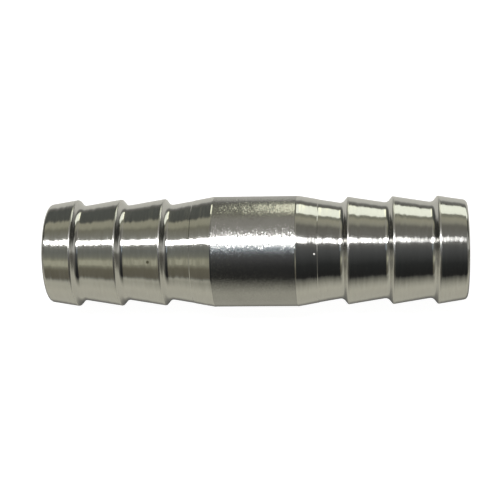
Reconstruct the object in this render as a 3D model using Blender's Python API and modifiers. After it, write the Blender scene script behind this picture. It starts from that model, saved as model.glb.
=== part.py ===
"""Straight hose barb connector: one piece turned from stainless bar.

The part is a body of revolution about X, centred on the origin. A plain band of bar stock in the
middle is flanked by a taper and three saw-tooth barbs on each side, and a bore runs through it.
"""

import math

import bpy

MM = 0.001

# Middle band, left at the diameter of the bar
BAND_RADIUS = 7.0 * MM
BAND_LENGTH = 10.6 * MM

# Barbs: three at each end, evenly spaced outwards from the taper beside the band
BARBS = 3
BARB_PITCH = 5.6 * MM
BARB_TIP_RADIUS = 6.8 * MM
BARB_ROOT_RADIUS = 6.0 * MM
SHOULDER_RUN = 0.65 * MM
ROOT_FILLET = 0.68 * MM

# The outermost cone stops short at the end face
LAST_CONE_LENGTH = 3.65 * MM
LEAD_IN_RADIUS = 0.5 * MM

# Bore
BORE_RADIUS = 4.5 * MM
BORE_CHAMFER = 0.3 * MM

SIDES = 64
ARC_STEPS = 3

FIRST_ROOT = BAND_LENGTH / 2 + BARB_PITCH
LAST_TIP = FIRST_ROOT + (BARBS - 1) * BARB_PITCH + SHOULDER_RUN
HALF_LENGTH = LAST_TIP + LAST_CONE_LENGTH
CONE_SLOPE = (BARB_TIP_RADIUS - BARB_ROOT_RADIUS) / (BARB_PITCH - SHOULDER_RUN)
END_RADIUS = BARB_TIP_RADIUS - CONE_SLOPE * LAST_CONE_LENGTH


def outer_corners():
    """(radius, station, rounding) of each corner from the middle band out to the end face."""
    corners = [(BAND_RADIUS, BAND_LENGTH / 2, 0.0)]
    for barb in range(BARBS):
        root = FIRST_ROOT + barb * BARB_PITCH
        corners.append((BARB_ROOT_RADIUS, root, ROOT_FILLET))
        corners.append((BARB_TIP_RADIUS, root + SHOULDER_RUN, 0.0))
    corners.append((END_RADIUS, HALF_LENGTH, LEAD_IN_RADIUS))
    return corners


def bore_corners():
    """The same for the bore, from the end face back in."""
    return [
        (BORE_RADIUS + BORE_CHAMFER, HALF_LENGTH, 0.0),
        (BORE_RADIUS, HALF_LENGTH - BORE_CHAMFER, 0.0),
    ]


def unit(start, end):
    """Direction from start to end in the profile plane."""
    run = (end[0] - start[0], end[1] - start[1])
    length = math.hypot(*run)
    return run[0] / length, run[1] / length


def rounded_corner(before, corner, after):
    """Points of the arc that rounds a corner, or the corner itself where its rounding is zero."""
    if corner[2] == 0.0:
        return [corner[:2]]
    back, ahead = unit(corner, before), unit(corner, after)
    cosine = back[0] * ahead[0] + back[1] * ahead[1]
    half_angle = math.acos(cosine) / 2
    to_centre = unit((0.0, 0.0), (back[0] + ahead[0], back[1] + ahead[1]))
    reach = corner[2] / math.sin(half_angle)
    centre = [corner[i] + to_centre[i] * reach for i in (0, 1)]
    tangent = corner[2] / math.tan(half_angle)
    first = [corner[i] + back[i] * tangent - centre[i] for i in (0, 1)]
    last = [corner[i] + ahead[i] * tangent - centre[i] for i in (0, 1)]
    sweep = math.pi - 2 * half_angle
    points = []
    for step in range(ARC_STEPS + 1):
        part = step / ARC_STEPS
        near = math.sin((1 - part) * sweep) / math.sin(sweep)
        far = math.sin(part * sweep) / math.sin(sweep)
        points.append(tuple(centre[i] + near * first[i] + far * last[i] for i in (0, 1)))
    return points


def section():
    """Closed outline of the wall as (radius, station), down the outside and back up the bore."""
    half = outer_corners() + bore_corners()
    mirrored = [(radius, -station, rounding) for radius, station, rounding in half]
    outside = len(half) - len(bore_corners())
    loop = half[:outside][::-1] + mirrored[:outside] + mirrored[outside:] + half[outside:][::-1]
    points = []
    for index, corner in enumerate(loop):
        after = loop[(index + 1) % len(loop)]
        points.extend(rounded_corner(loop[index - 1], corner, after))
    return points


def stainless_steel():
    material = bpy.data.materials.new("stainless_steel")
    material.use_nodes = True
    shader = material.node_tree.nodes["Principled BSDF"]
    shader.inputs["Base Color"].default_value = (0.56, 0.55, 0.52, 1.0)
    shader.inputs["Metallic"].default_value = 1.0
    shader.inputs["Roughness"].default_value = 0.28
    return material


def turned_body(collection):
    """The wall's outline revolved about Z, then laid along X."""
    outline = section()
    edges = [(index, (index + 1) % len(outline)) for index in range(len(outline))]
    mesh = bpy.data.meshes.new("connector_body")
    mesh.from_pydata([(radius, 0.0, station) for radius, station in outline], edges, [])
    body = bpy.data.objects.new("connector_body", mesh)
    collection.objects.link(body)
    body.rotation_euler = (0.0, math.pi / 2, 0.0)
    screw = body.modifiers.new("Revolve", "SCREW")
    screw.axis = "Z"
    screw.angle = 2 * math.pi
    screw.steps = SIDES
    screw.render_steps = SIDES
    screw.use_merge_vertices = True
    screw.merge_threshold = 0.000001
    body.data.materials.append(stainless_steel())
    smooth_between_sharp_edges(body)
    return body


def smooth_between_sharp_edges(body):
    """Bakes the turned shape and shades it smooth, with its corners kept crisp."""
    graph = bpy.context.evaluated_depsgraph_get()
    turned = bpy.data.meshes.new_from_object(body.evaluated_get(graph))
    body.modifiers.clear()
    body.data = turned
    turned.shade_smooth()
    turned.set_sharp_from_angle(angle=math.radians(30))


def main():
    for leftover in list(bpy.data.objects):
        bpy.data.objects.remove(leftover)
    collection = bpy.data.collections.new("hose_barb_connector")
    bpy.context.scene.collection.children.link(collection)
    turned_body(collection)


main()
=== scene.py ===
"""Looks for the straight hose barb connector: one turned stainless steel piece on a pale floor."""

import math

import bpy
import numpy as np
from mathutils import Matrix, Vector


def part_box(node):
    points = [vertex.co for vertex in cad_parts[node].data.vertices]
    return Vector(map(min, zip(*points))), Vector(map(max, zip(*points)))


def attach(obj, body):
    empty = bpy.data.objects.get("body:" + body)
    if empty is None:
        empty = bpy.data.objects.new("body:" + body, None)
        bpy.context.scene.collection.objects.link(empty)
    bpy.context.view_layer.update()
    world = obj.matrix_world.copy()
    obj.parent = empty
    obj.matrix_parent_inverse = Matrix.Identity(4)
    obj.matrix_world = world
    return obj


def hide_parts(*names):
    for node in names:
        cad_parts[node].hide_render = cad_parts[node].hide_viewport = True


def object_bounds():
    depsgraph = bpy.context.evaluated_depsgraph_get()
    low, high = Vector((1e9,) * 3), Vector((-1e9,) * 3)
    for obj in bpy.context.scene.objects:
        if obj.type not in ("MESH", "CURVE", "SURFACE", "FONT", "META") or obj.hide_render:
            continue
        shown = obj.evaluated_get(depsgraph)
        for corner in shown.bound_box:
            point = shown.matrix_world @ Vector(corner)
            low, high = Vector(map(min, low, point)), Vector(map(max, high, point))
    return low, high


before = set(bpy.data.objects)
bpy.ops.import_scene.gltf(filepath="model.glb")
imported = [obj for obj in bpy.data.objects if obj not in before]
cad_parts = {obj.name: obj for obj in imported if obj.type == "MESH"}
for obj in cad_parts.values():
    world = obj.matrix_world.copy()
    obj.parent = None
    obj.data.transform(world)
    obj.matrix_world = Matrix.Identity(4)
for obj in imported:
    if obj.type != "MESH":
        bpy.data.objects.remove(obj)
CAD_LOW, CAD_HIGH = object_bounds()

MM = 0.001
NODE = "connector_body"
HALF_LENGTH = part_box(NODE)[1].x
BAND_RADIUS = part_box(NODE)[1].z

# The design's stations and radii, as the CAD has them
BAND_HALF = 5.3 * MM
BARBS = 3
BARB_PITCH = 5.6 * MM
TIP_RADIUS = 6.8 * MM
ROOT_RADIUS = 6.0 * MM
ROOT_FILLET = 0.68 * MM
SHOULDER_RUN = 0.65 * MM
LEAD_IN = 0.5 * MM
BORE_RADIUS = 4.5 * MM
BORE_CHAMFER = 0.3 * MM
FIRST_ROOT = BAND_HALF + BARB_PITCH
LAST_TIP = FIRST_ROOT + (BARBS - 1) * BARB_PITCH + SHOULDER_RUN
CONE_SLOPE = (TIP_RADIUS - ROOT_RADIUS) / (BARB_PITCH - SHOULDER_RUN)
END_RADIUS = TIP_RADIUS - CONE_SLOPE * (HALF_LENGTH - LAST_TIP)

# What the lathe tool and handling leave, too fine for the CAD
BAND_EDGE = 0.04 * MM
LIP_WIDTH = 0.16 * MM
LIP_HEIGHT = 0.025 * MM
WITNESS_LINE = 7.85 * MM
WITNESS_WIDTH = 0.07 * MM
WITNESS_STEP = 0.045 * MM
WITNESS_ROUND = 0.012 * MM
TIP_ROUND = 0.24 * MM
TIP_WEAR = 0.2 * MM
TIP_WEAR_BEFORE = 0.02 * MM
CHAMFER_EDGE = 0.05 * MM
RIPPLE = 0.0014 * MM
# Waves of the feed marks, as (length in millimetres, phase, depth)
RIPPLE_WAVES = ((0.61, 0.0, 0.9), (0.43, 1.7, 0.8), (0.29, 4.1, 0.5), (1.9, 2.6, 1.6))
RIPPLE_MEAN = 4.0  # more than the waves' depths together, so that the ripple only cuts inwards

SEGMENTS = 112
ROUNDING_STEPS = 6
OUTSIDE_STEP = 0.09 * MM
BORE_STEP = 1.5 * MM
BORE_UP_TO = BORE_RADIUS + 0.5 * BORE_CHAMFER
OUTSIDE_FROM = BORE_RADIUS + 1.5 * BORE_CHAMFER

TURNED, BAND, BORE, WORN = 0, 1, 2, 3


# ---------------------------------------------------------------- turned shape


def corners_from_centre():
    """(station, radius, rounding) out along one half of the outside and back to its bore."""
    taper = BAND_RADIUS - (BAND_RADIUS - ROOT_RADIUS) * (WITNESS_LINE - BAND_HALF) / BARB_PITCH
    corners = [
        (BAND_HALF - LIP_WIDTH, BAND_RADIUS - LIP_HEIGHT, BAND_EDGE),
        (BAND_HALF, BAND_RADIUS, BAND_EDGE),
        (WITNESS_LINE, taper, WITNESS_ROUND),
        (WITNESS_LINE + WITNESS_WIDTH, taper - WITNESS_STEP, WITNESS_ROUND),
    ]
    for barb in range(BARBS):
        root = FIRST_ROOT + barb * BARB_PITCH
        corners.append((root, ROOT_RADIUS, ROOT_FILLET))
        corners.append((root + SHOULDER_RUN, TIP_RADIUS, TIP_ROUND))
    corners.append((HALF_LENGTH, END_RADIUS, LEAD_IN))
    corners.append((HALF_LENGTH, BORE_RADIUS + BORE_CHAMFER, CHAMFER_EDGE))
    corners.append((HALF_LENGTH - BORE_CHAMFER, BORE_RADIUS, CHAMFER_EDGE))
    return corners


def rounded(before, corner, after):
    """The arc that rounds one corner of the profile."""
    here, radius = Vector(corner[:2]), corner[2]
    back, ahead = (Vector(before[:2]) - here).normalized(), (Vector(after[:2]) - here).normalized()
    half_angle = back.angle(ahead) / 2
    centre = here + (back + ahead).normalized() * radius / math.sin(half_angle)
    tangent = radius / math.tan(half_angle)
    first = (here + back * tangent - centre).normalized()
    last = (here + ahead * tangent - centre).normalized()
    shares = [step / ROUNDING_STEPS for step in range(ROUNDING_STEPS + 1)]
    return [centre + radius * first.slerp(last, share) for share in shares]


def outline():
    """The wall's closed outline, over the outside from -X to +X and back through the bore."""
    half = corners_from_centre()
    outside, inside = half[:-2], half[-2:]
    left = [(-x, r, rounding) for x, r, rounding in half]
    loop = left[:-2][::-1] + outside + inside + left[-2:][::-1]
    points = []
    for index, corner in enumerate(loop):
        points.extend(rounded(loop[index - 1], corner, loop[(index + 1) % len(loop)]))
    return points


def subdivided(points):
    """The outline with long stretches cut into short steps, finer outside than in the bore."""
    dense = []
    for index, point in enumerate(points):
        after = points[(index + 1) % len(points)]
        step = BORE_STEP if max(point.y, after.y) < BORE_UP_TO else OUTSIDE_STEP
        pieces = max(1, math.ceil((after - point).length / step))
        dense.extend(point.lerp(after, piece / pieces) for piece in range(pieces))
    return dense


def tool_ripple(station):
    """Depth of the uneven feed marks that the tool leaves along the axis."""
    waves = (a * math.sin(2 * math.pi * station / (w * MM) + p) for w, p, a in RIPPLE_WAVES)
    return RIPPLE * (sum(waves) + RIPPLE_MEAN)


def turned_mesh():
    """The dense outline swept round X, with a material index for each zone."""
    points = subdivided(outline())
    rings = len(points)
    angles = np.linspace(0.0, 2 * math.pi, SEGMENTS, endpoint=False)
    stations = np.array([p.x for p in points])
    outside = np.array([p.y > OUTSIDE_FROM for p in points])
    ripple = np.array([tool_ripple(p.x) for p in points])
    band = np.abs(stations) < BAND_HALF - LIP_WIDTH / 2
    radii = np.array([p.y for p in points]) - np.where(outside & ~band, ripple, 0.0)
    vertices = np.empty((rings, SEGMENTS, 3))
    vertices[:, :, 0] = stations[:, None]
    vertices[:, :, 1] = radii[:, None] * np.sin(angles)
    vertices[:, :, 2] = radii[:, None] * np.cos(angles)
    ring, segment = np.meshgrid(np.arange(rings), np.arange(SEGMENTS), indexing="ij")
    next_ring, next_segment = (ring + 1) % rings, (segment + 1) % SEGMENTS
    corners = (
        ring * SEGMENTS + segment,
        ring * SEGMENTS + next_segment,
        next_ring * SEGMENTS + next_segment,
        next_ring * SEGMENTS + segment,
    )
    faces = np.stack([c.ravel() for c in corners], axis=1)
    mesh = bpy.data.meshes.new("turned_body")
    mesh.from_pydata(vertices.reshape(-1, 3).tolist(), [], faces.tolist())
    zone = np.full(rings, TURNED)
    zone[band & np.roll(band, -1) & outside] = BAND
    zone[~outside & ~np.roll(outside, -1)] = BORE
    for barb in range(BARBS):
        past_tip = np.abs(stations) - (FIRST_ROOT + barb * BARB_PITCH + SHOULDER_RUN)
        zone[(past_tip > -TIP_WEAR_BEFORE) & (past_tip < TIP_WEAR) & outside] = WORN
    mesh.polygons.foreach_set("material_index", np.repeat(zone, SEGMENTS).astype(np.int32))
    mesh.shade_smooth()
    mesh.validate()
    mesh.update()
    return mesh


def placed(name, data):
    piece = bpy.data.objects.new(name, data)
    bpy.context.scene.collection.objects.link(piece)
    return piece


# ----------------------------------------------------------------------- nodes

NOISE_LOW, NOISE_HIGH = 0.3, 0.7  # most of a noise texture's values lie between these


class Nodes:
    """Short calls for building the node tree of one new material or world."""

    def __init__(self, owner):
        owner.use_nodes = True
        self.owner = owner
        self.tree = owner.node_tree

    def add(self, kind, **settings):
        node = self.tree.nodes.new(kind)
        for key, value in settings.items():
            setattr(node, key, value)
        return node

    def put(self, value, socket):
        """Gives a socket an output to follow, or its own number, vector or colour."""
        if isinstance(value, bpy.types.NodeSocket):
            self.tree.links.new(value, socket)
        elif socket.type == "RGBA":
            socket.default_value = (*value, 1.0)
        else:
            socket.default_value = value

    def coordinates(self, kind="Object"):
        return self.add("ShaderNodeTexCoord").outputs[kind]

    def parts_of(self, vector):
        """A vector's X, Y and Z."""
        node = self.add("ShaderNodeSeparateXYZ")
        self.put(vector, node.inputs[0])
        return node.outputs

    def camera_ray(self):
        return self.add("ShaderNodeLightPath").outputs["Is Camera Ray"]

    def maths(self, operation, *values):
        node = self.add("ShaderNodeMath", operation=operation)
        for socket, value in zip(node.inputs, values):
            self.put(value, socket)
        return node.outputs[0]

    def vector_maths(self, operation, *vectors):
        node = self.add("ShaderNodeVectorMath", operation=operation)
        for socket, vector in zip(node.inputs, vectors):
            self.put(vector, socket)
        return node

    def stretched(self, scale):
        """Object coordinates times a scale for each axis, in cycles per metre."""
        return self.vector_maths("MULTIPLY", self.coordinates(), scale).outputs[0]

    def noise(self, vector, detail, roughness=0.5):
        node = self.add("ShaderNodeTexNoise")
        node.inputs["Scale"].default_value = 1.0
        node.inputs["Detail"].default_value = detail
        node.inputs["Roughness"].default_value = roughness
        self.put(vector, node.inputs["Vector"])
        return node.outputs

    def three_noises(self, vector):
        """Three noises that don't follow each other."""
        split = self.add("ShaderNodeSeparateColor")
        self.put(self.noise(vector, 1.0)["Color"], split.inputs[0])
        return split.outputs

    def spread(self, value, low, high, new_low=0.0, new_high=1.0, smooth=False):
        """A value's range from low to high, mapped to a new range and held at its ends."""
        node = self.add("ShaderNodeMapRange", interpolation_type="SMOOTHSTEP" if smooth else "LINEAR")
        self.put(value, node.inputs["Value"])
        limits = {"From Min": low, "From Max": high, "To Min": new_low, "To Max": new_high}
        for name, number in limits.items():
            node.inputs[name].default_value = number
        return node.outputs["Result"]

    def either_way(self, noise, lean):
        """A noise's usual range, mapped evenly about zero."""
        return self.spread(noise, NOISE_LOW, NOISE_HIGH, -lean, lean)

    def tint(self, share, first, second):
        node = self.add("ShaderNodeMix", data_type="RGBA")
        self.put(share, node.inputs["Factor"])
        self.put(first, node.inputs[6])
        self.put(second, node.inputs[7])
        return node.outputs[2]

    def ramp(self, share, stops):
        """The colour at a share of the way along (share, colour) stops."""
        node = self.add("ShaderNodeValToRGB")
        elements = node.color_ramp.elements
        while len(elements) > 1:
            elements.remove(elements[-1])
        elements[0].position, elements[0].color = stops[0][0], (*stops[0][1], 1.0)
        for position, colour in stops[1:]:
            elements.new(position).color = (*colour, 1.0)
        self.put(share, node.inputs["Fac"])
        return node.outputs["Color"]

    def glow(self, colour, strength=1.0):
        node = self.add("ShaderNodeEmission")
        self.put(colour, node.inputs["Color"])
        self.put(strength, node.inputs["Strength"])
        return node.outputs[0]


def staged_material(name):
    """A new material with no shader yet, and the socket that takes one."""
    n = Nodes(bpy.data.materials.new(name))
    n.tree.nodes.remove(n.tree.nodes["Principled BSDF"])
    return n, n.tree.nodes["Material Output"].inputs["Surface"]


# ----------------------------------------------------------------------- steel

BRIGHT = ((0.59, 0.58, 0.55), (0.64, 0.635, 0.61))
SATIN = ((0.40, 0.395, 0.38), (0.48, 0.475, 0.46))
BORED = ((0.42, 0.41, 0.39), (0.52, 0.51, 0.49))
PATCHES = (300, 300, 300)
MARKS_SHARE = 0.6
DARK_SPOT_COLOUR = (0.22, 0.21, 0.18)
NICK_LEAN = 0.25
SPOT_CORE = 0.6

# Small marks, as (station, degrees over the front horizon, radius there, size): darker spots mixed
# into the colour, and nicks of handling that lean the normal
DARK_SPOTS = ((-13.00 * MM, 51.4, 6.57 * MM, 0.24 * MM),)
NICKS = ((7.53 * MM, 58.6, 6.6 * MM, 0.16 * MM),)

# The band's grain is weaker on the front than on the top and back, as the photo shows the front
GRAIN_FRONT = -6.2 * MM
GRAIN_BACK = -3.0 * MM
GRAIN_SHARES = (0.35, 1.05)


class SteelNodes(Nodes):
    """The calls that only the steel needs."""

    def __init__(self, name):
        super().__init__(bpy.data.materials.new(name))
        self.shader = self.tree.nodes["Principled BSDF"]

    def around_axis(self):
        return self.add("ShaderNodeTangent", direction_type="RADIAL", axis="X").outputs["Tangent"]

    def metal(self, anisotropy, rotation):
        self.shader.inputs["Metallic"].default_value = 1.0
        self.shader.inputs["Anisotropic"].default_value = anisotropy
        self.shader.inputs["Anisotropic Rotation"].default_value = rotation
        self.put(self.around_axis(), self.shader.inputs["Tangent"])

    def spot(self, station, degrees, radius, size):
        """1 inside a small round spot on the outside, 0 away from it."""
        angle = math.radians(degrees)
        centre = (station, -radius * math.cos(angle), radius * math.sin(angle))
        distance = self.vector_maths("DISTANCE", self.coordinates(), centre).outputs["Value"]
        return self.spread(distance, size * SPOT_CORE, size, 1.0, 0.0)

    def leaning(self, normal, direction, slope):
        """The normal, leaned towards a direction by a slope that varies."""
        scaled = self.vector_maths("SCALE", direction)
        self.put(slope, scaled.inputs["Scale"])
        return self.vector_maths("ADD", normal, scaled.outputs[0]).outputs[0]

    def tool_marks(self, strokes, lean, feed, feed_lean, sparse, uneven, nicks):
        """Leans the normal a little, stroke by stroke and then ring by ring. Each lean is a pair:
        round the axis, and along it."""
        normal = self.add("ShaderNodeNewGeometry").outputs["Normal"]
        stroke = self.three_noises(self.stretched(strokes))
        turn = self.maths("POWER", self.either_way(stroke[0], 1.0), sparse)
        turn = self.maths("MULTIPLY", turn, lean[0])
        if uneven:
            depth = self.parts_of(self.coordinates())["Y"]
            share = self.spread(depth, GRAIN_FRONT, GRAIN_BACK, *GRAIN_SHARES)
            turn = self.maths("MULTIPLY", turn, share)
        normal = self.leaning(normal, self.around_axis(), turn)
        for nick in nicks:
            dent = self.maths("MULTIPLY", self.spot(*nick), NICK_LEAN)
            normal = self.leaning(normal, (0, 1, 0), dent)
        normal = self.leaning(normal, (1, 0, 0), self.either_way(stroke[1], lean[1]))
        ring = self.three_noises(self.stretched(feed))
        normal = self.leaning(normal, (1, 0, 0), self.either_way(ring[0], feed_lean[1]))
        normal = self.leaning(normal, self.around_axis(), self.either_way(ring[2], feed_lean[0]))
        unit = self.vector_maths("NORMALIZE", normal)
        self.put(unit.outputs[0], self.shader.inputs["Normal"])


def steel(name, colours, roughness, anisotropy, strokes, lean, feed, feed_lean,
          sparse=1.0, uneven=False, dark_spots=(), nicks=()):
    """Stainless steel with tool strokes and feed rings, counted per metre along each axis."""
    n = SteelNodes(name)
    n.metal(*anisotropy)
    marks = n.noise(n.stretched(strokes), 2.0, 0.6)["Fac"]
    patches = n.noise(n.stretched(PATCHES), 3.0)["Fac"]
    marks_part = n.maths("MULTIPLY", marks, MARKS_SHARE)
    worn = n.maths("ADD", marks_part, n.maths("MULTIPLY", patches, 1 - MARKS_SHARE))
    colour = n.tint(n.spread(worn, NOISE_LOW, NOISE_HIGH), *colours)
    # Each of these spots only mixes the base colour towards a dark grey-brown
    for dark_spot in dark_spots:
        colour = n.tint(n.spot(*dark_spot), colour, DARK_SPOT_COLOUR)
    n.put(colour, n.shader.inputs["Base Color"])
    n.put(n.spread(marks, NOISE_LOW, NOISE_HIGH, *roughness), n.shader.inputs["Roughness"])
    n.tool_marks(strokes, lean, feed, feed_lean, sparse, uneven, nicks)
    return n.owner


def steels():
    """The turned barbs and tapers, the satin band, the duller bore, and the tips where hoses rub,
    in the order of the zones."""
    return (
        steel("turned_steel", BRIGHT, roughness=(0.12, 0.17), anisotropy=(0.6, 0.25),
              strokes=(3500, 500, 500), lean=(0.006, 0.02),
              feed=(1750, 60, 60), feed_lean=(0.013, 0.04), dark_spots=DARK_SPOTS, nicks=NICKS),
        steel("satin_band", SATIN, roughness=(0.155, 0.205), anisotropy=(0.7, 0.0),
              strokes=(6700, 4200, 4200), lean=(0.1, 0.03),
              feed=(3000, 90, 90), feed_lean=(0.004, 0.004), sparse=3.0, uneven=True),
        steel("bored_steel", BORED, roughness=(0.30, 0.42), anisotropy=(0.5, 0.25),
              strokes=(1800, 200, 200), lean=(0.02, 0.03),
              feed=(900, 60, 60), feed_lean=(0.01, 0.05)),
        steel("worn_tips", BRIGHT, roughness=(0.30, 0.36), anisotropy=(0.6, 0.25),
              strokes=(3500, 500, 500), lean=(0.006, 0.02),
              feed=(1750, 60, 60), feed_lean=(0.012, 0.03)),
    )


def connector():
    mesh = turned_mesh()
    for material in steels():
        mesh.materials.append(material)
    body = placed("turned_body", mesh)
    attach(body, "root")
    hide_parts(NODE)


# ---------------------------------------------------------------------- camera

CAMERA_ELEVATION = math.radians(62.0)
CAMERA_SWING = math.radians(4.88)
CAMERA_ROLL = math.radians(-0.54)
CAMERA_DISTANCE = 175.6 * MM
CAMERA_TARGET = Vector((-0.86 * MM, 0.158 * MM, 0.086 * MM))
CAMERA_LENS = 99.6


def camera():
    data = bpy.data.cameras.new("camera")
    data.lens = CAMERA_LENS
    data.sensor_width = 36.0
    data.clip_start, data.clip_end = 0.01, 10.0
    view = placed("camera", data)
    raised = Matrix.Rotation(-CAMERA_ELEVATION, 4, "X") @ Matrix.Rotation(CAMERA_SWING, 4, "Z")
    level = Matrix.Rotation(math.pi / 2, 4, "X") @ Matrix.Rotation(CAMERA_ROLL, 4, "Z")
    away = Matrix.Translation((0.0, -CAMERA_DISTANCE, 0.0))
    view.matrix_world = Matrix.Translation(CAMERA_TARGET) @ raised @ away @ level
    bpy.context.scene.camera = view


# ----------------------------------------------------------------------- floor

FLOOR_SIZE = 4.0
FLOOR_DEPTH = 200 * MM
FLOOR_SIDES = (-45 * MM, -10 * MM)
FLOOR_WHITE = 0.95
FLOOR_PAPER = (0.3, 0.3, 0.3)

# Floor colours that the steel sees, by the distance behind the part's axis in millimetres. They are
# painted light and shade: a painted pool of light near the part, a painted shadow under it, and
# painted shade further off, which starts sooner on the right in front
LEFT_FLOOR_PAINTED_SHADING = (
    (-200, (0.22, 0.22, 0.19)),
    (-95, (0.46, 0.455, 0.39)),
    (-40, (0.54, 0.535, 0.45)),
    (-18, (0.57, 0.56, 0.475)),
    (-6.9, (0.52, 0.51, 0.44)),
    (-5.9, (0.12, 0.12, 0.115)),
    (4, (0.18, 0.175, 0.15)),
    (9, (0.62, 0.615, 0.56)),
    (45, (0.62, 0.615, 0.57)),
    (62, (0.26, 0.26, 0.245)),
    (140, (0.14, 0.14, 0.13)),
)
RIGHT_FLOOR_PAINTED_SHADING = (
    (-200, (0.10, 0.10, 0.09)),
    (-95, (0.17, 0.17, 0.145)),
    (-45, (0.30, 0.295, 0.25)),
    (-28, (0.45, 0.445, 0.38)),
    (-18, (0.57, 0.56, 0.475)),
    (-6.9, (0.52, 0.51, 0.44)),
    (-5.9, (0.12, 0.12, 0.115)),
    (4, (0.18, 0.175, 0.15)),
    (9, (0.62, 0.615, 0.56)),
    (45, (0.62, 0.615, 0.57)),
    (62, (0.26, 0.26, 0.245)),
    (140, (0.15, 0.15, 0.14)),
)


def floor_material():
    """White to the camera. The steel sees a glowing floor with painted light and shade: a painted pool
    of beige light near the part, a painted shadow under it, and painted shade further off.
    """
    n, surface = staged_material("pale_floor")
    where = n.parts_of(n.coordinates())
    depth = n.spread(where["Y"], -FLOOR_DEPTH, FLOOR_DEPTH)
    left, right = (
        n.ramp(depth, [(0.5 + y * MM / FLOOR_DEPTH / 2, colour) for y, colour in stops])
        for stops in (LEFT_FLOOR_PAINTED_SHADING, RIGHT_FLOOR_PAINTED_SHADING)
    )
    # Painted light and shade: this glow paints a pool of light near the part, a shadow under it and
    # shade further off
    painted_floor_seen_by_steel = n.glow(n.tint(n.spread(where["X"], *FLOOR_SIDES), left, right))
    paper = n.add("ShaderNodeBsdfDiffuse")
    n.put(FLOOR_PAPER, paper.inputs["Color"])
    seen_by_camera = n.add("ShaderNodeAddShader")
    n.put(n.glow((1.0, 1.0, 1.0), FLOOR_WHITE), seen_by_camera.inputs[0])
    n.put(paper.outputs[0], seen_by_camera.inputs[1])
    mix = n.add("ShaderNodeMixShader")
    n.put(n.camera_ray(), mix.inputs[0])
    n.put(painted_floor_seen_by_steel, mix.inputs[1])
    n.put(seen_by_camera.outputs[0], mix.inputs[2])
    n.put(mix.outputs[0], surface)
    return n.owner


def floor():
    half = FLOOR_SIZE / 2
    mesh = bpy.data.meshes.new("floor")
    corners = [(-half, -half), (half, -half), (half, half), (-half, half)]
    mesh.from_pydata([(x, y, CAD_LOW.z) for x, y in corners], [], [(0, 1, 2, 3)])
    mesh.materials.append(floor_material())
    plane = placed("floor", mesh)


# ------------------------------------------------------------------------ room

# Colours that the steel sees in the room, by degrees over the front horizon
LEFT_ROOM = (
    (0, (0.15, 0.14, 0.11)),
    (22, (0.17, 0.16, 0.12)),
    (32, (0.34, 0.335, 0.26)),
    (44, (0.36, 0.355, 0.27)),
    (52, (0.22, 0.225, 0.19)),
    (64, (0.18, 0.187, 0.17)),
    (100, (0.26, 0.26, 0.225)),
    (118, (0.23, 0.225, 0.175)),
    (126, (0.38, 0.375, 0.29)),
    (138, (0.41, 0.40, 0.31)),
    (144, (0.105, 0.11, 0.10)),
    (180, (0.105, 0.112, 0.105)),
)
RIGHT_ROOM = (
    (0, (0.018, 0.018, 0.018)),
    (30, (0.030, 0.032, 0.032)),
    (60, (0.09, 0.093, 0.095)),
    (100, (0.19, 0.187, 0.17)),
    (117, (0.18, 0.177, 0.155)),
    (126, (0.37, 0.365, 0.30)),
    (136, (0.41, 0.40, 0.31)),
    (142, (0.25, 0.25, 0.20)),
    (180, (0.20, 0.20, 0.17)),
)
LEFT_WALL = (
    (0, (0.32, 0.315, 0.28)),
    (45, (0.30, 0.295, 0.26)),
    (70, (0.12, 0.12, 0.11)),
    (95, (0.12, 0.12, 0.11)),
    (108, (0.035, 0.035, 0.032)),
    (180, (0.035, 0.035, 0.032)),
)
RIGHT_WALL = (
    (0, (0.17, 0.165, 0.145)),
    (45, (0.16, 0.155, 0.14)),
    (60, (0.22, 0.22, 0.20)),
    (68, (0.55, 0.55, 0.52)),
    (106, (0.60, 0.60, 0.57)),
    (118, (0.04, 0.04, 0.036)),
    (180, (0.04, 0.04, 0.036)),
)

# Degrees to the side of straight ahead where the left half turns into the right one, and the room
# ahead and behind into the walls at the ends
SIDES_MEET = (-20, -6)
WALLS_START = (32, 55)


def surroundings():
    """The room that the steel sees, which is plain white to the camera."""
    world = bpy.data.worlds.new("surroundings")
    bpy.context.scene.world = world
    n = Nodes(world)
    across, depth, height = n.parts_of(n.coordinates("Generated"))
    angle = n.maths("ARCTAN2", height, n.maths("MULTIPLY", depth, -1.0))
    share = n.maths("DIVIDE", angle, math.pi)
    left_room, right_room, left_wall, right_wall = (
        n.ramp(share, [(degrees / 180, colour) for degrees, colour in stops])
        for stops in (LEFT_ROOM, RIGHT_ROOM, LEFT_WALL, RIGHT_WALL)
    )
    sides = [math.sin(math.radians(degrees)) for degrees in SIDES_MEET]
    walls = [math.sin(math.radians(degrees)) for degrees in WALLS_START]
    side = n.spread(across, *sides, smooth=True)
    far = n.spread(n.maths("ABSOLUTE", across), *walls, smooth=True)
    room = n.tint(side, left_room, right_room)
    wall = n.tint(side, left_wall, right_wall)
    seen = n.tint(n.camera_ray(), n.tint(far, room, wall), (1.0, 1.0, 1.0))
    n.put(seen, n.tree.nodes["Background"].inputs["Color"])


# ---------------------------------------------------------------------- lights

OVERHEAD_HEIGHT = 300 * MM
PART_HEIGHT = 6 * MM
PART_FRONT = -2 * MM
WALL_DISTANCE = 0.8
WHITE = (1.0, 1.0, 1.0)

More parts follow.
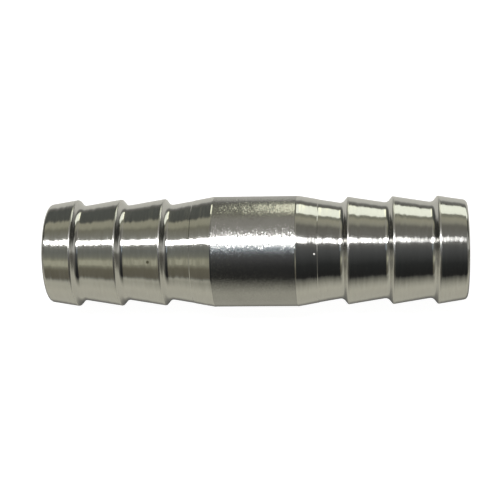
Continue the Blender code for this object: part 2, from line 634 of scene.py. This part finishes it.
# Cards overhead: name, (millimetres across, degrees over the front horizon) round it, colour, strength
OVERHEAD = (
    ("overhead_strip",
     ((-190, 82.6), (-160, 81.2), (-45, 79.4), (0, 79.4), (75, 80.4),
      (75, 88.4), (0, 89.8), (-45, 89.8), (-160, 90.3), (-190, 90.5)),
     WHITE, 12.0),
    ("strip_end",
     ((75, 78.8), (105, 79.2), (130, 80.2), (150, 81.4), (175, 83),
      (175, 88.5), (150, 89.5), (130, 89.6), (105, 90.2), (75, 90.6)),
     WHITE, (75, 160, 2.35, 1.0)),
    ("strip_wing",
     ((-900, 97), (-480, 95), (-320, 91), (-240, 87), (-190, 84),
      (-190, 91), (-240, 94), (-320, 99), (-480, 103), (-900, 106)),
     WHITE, 3.0),
    ("lamp_hood", ((-65, 91), (10, 91), (10, 138), (-65, 138)), (1.0, 0.97, 0.88), 0.40),
    ("lamp_lip", ((-65, 62), (10, 62), (10, 79), (-65, 79)), (0.80, 0.99, 1.16), 0.44),
)

# Upright cards: name, wall, (metres across, degrees over that horizon) round it, colour, strength
UPRIGHT = (
    ("window", WALL_DISTANCE, ((0.1, 4), (0.88, 4), (0.88, 32), (0.1, 32)),
     (1.0, 1.035, 0.91), 1.3),
    ("curtain", WALL_DISTANCE, ((-0.061, 4), (0.1, 4), (0.1, 32), (-0.061, 32)),
     (1.0, 1.01, 0.79), 1.8),
    ("pale_cloth", -WALL_DISTANCE, ((-0.49, 31), (-1.6, 31), (-1.6, 44), (-0.59, 44)),
     (1.0, 0.99, 0.77), 0.50),
)


def card(name, corners, colour, strength):
    """A glowing card, seen by the steel and not by the camera. Its strength is a number, or
    (start, end, first, last) where it changes evenly along X between two places in millimetres."""
    mesh = bpy.data.meshes.new(name)
    mesh.from_pydata(corners, [], [tuple(range(len(corners)))])
    n, surface = staged_material(name)
    if isinstance(strength, tuple):
        start, end, first, last = strength
        strength = n.spread(n.parts_of(n.coordinates())["X"], start * MM, end * MM, first, last)
    n.put(n.glow(colour, strength), surface)
    mesh.materials.append(n.owner)
    panel = placed(name, mesh)
    panel.visible_camera = False


def overhead(across, angle):
    """A point at the overhead cards' height, at an angle over the front horizon from the part."""
    run = (OVERHEAD_HEIGHT - PART_HEIGHT) / math.tan(math.radians(angle))
    return (across * MM, PART_FRONT - run, OVERHEAD_HEIGHT)


def upright(across, angle, wall):
    """A point on an upright wall behind or in front of the part, at an angle over that horizon."""
    return (across, wall, abs(wall) * math.tan(math.radians(angle)))


def lights():
    for name, points, colour, strength in OVERHEAD:
        card(name, [overhead(*point) for point in points], colour, strength)
    for name, wall, points, colour, strength in UPRIGHT:
        card(name, [upright(*point, wall) for point in points], colour, strength)


connector()
floor()
surroundings()
lights()
camera()
bpy.context.scene.view_settings.view_transform = "Standard"
